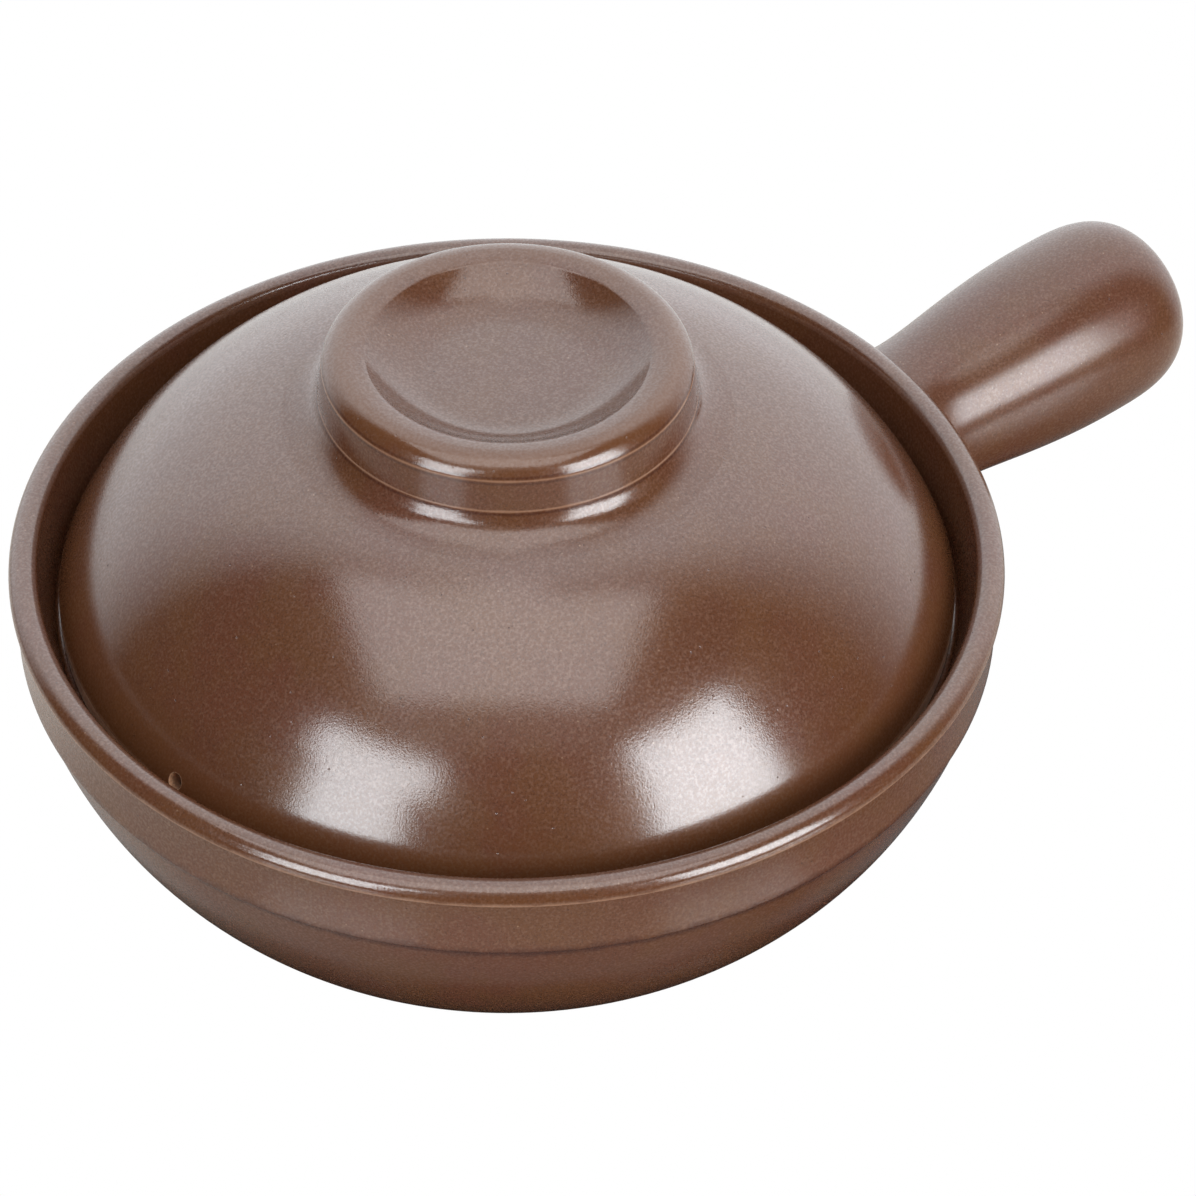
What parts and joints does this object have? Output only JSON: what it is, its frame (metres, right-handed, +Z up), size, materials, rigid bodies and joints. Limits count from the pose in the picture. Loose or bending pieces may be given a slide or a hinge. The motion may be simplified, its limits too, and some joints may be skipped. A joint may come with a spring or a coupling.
{
  "type": "clay pot",
  "caption": "Glazed clay cooking pot with a hollow stub handle, an inner ledge, and a lift-off domed lid with a dished ring knob and a steam hole.",
  "frame": {"origin": "on the pot's axis, in the plane of the foot ring's standing face", "axes": "+Z up along the pot's axis, +X along the handle, +Y to the left when facing along the handle"},
  "size_m": [0.2628, 0.19, 0.1099],
  "materials": {
    "bowl_glaze": "satin brown glaze with a bare clay foot",
    "handle_glaze": "satin brown glaze",
    "lid_glaze": "satin brown glaze with a bare clay seat",
    "knob_glaze": "satin brown glaze, lighter where it breaks over edges"
  },
  "bodies": {
    "pot": {"pot_bowl": "bowl_glaze", "pot_handle": "handle_glaze"},
    "lid": {"lid_dome": "lid_glaze", "lid_knob": "knob_glaze"}
  },
  "joints": [
    {"name": "lid_lift", "type": "slide", "parent": "pot", "child": "lid", "axis": [0, 0, 1], "range_m": [0, 0.06]}
  ]
}
